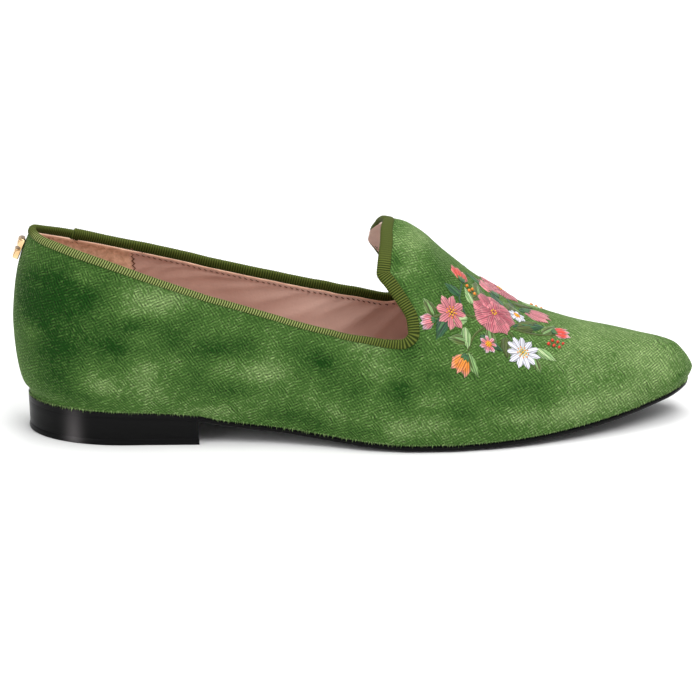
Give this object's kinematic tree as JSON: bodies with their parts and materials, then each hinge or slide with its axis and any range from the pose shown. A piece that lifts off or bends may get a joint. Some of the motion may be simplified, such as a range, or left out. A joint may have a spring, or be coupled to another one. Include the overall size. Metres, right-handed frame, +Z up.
{
  "type": "loafer shoe",
  "caption": "Right shoe: a low-cut velvet slipper loafer with a raised front tab, ribbon-bound opening, pointed toe, thin sole and low stacked heel.",
  "frame": {"origin": "on the floor below the middle of the slipper's bounding box", "axes": "+X towards the toe, +Z up, -Y towards the outer side of the foot"},
  "size_m": [0.2666, 0.0857, 0.0825],
  "materials": {
    "velvet": "green crushed velvet",
    "ribbon": "ribbed olive ribbon",
    "lining_leather": "matte rose-tan leather",
    "black_sole": "satin black, waxed edge",
    "black_rubber": "matte black",
    "gold": "polished gold tone"
  },
  "bodies": {
    "root": {"upper": "velvet", "topline_binding": "ribbon", "insole": "lining_leather", "outsole": "black_sole", "heel_block": "black_sole", "heel_top_piece": "black_rubber", "heel_stud": "gold"}
  },
  "joints": []
}
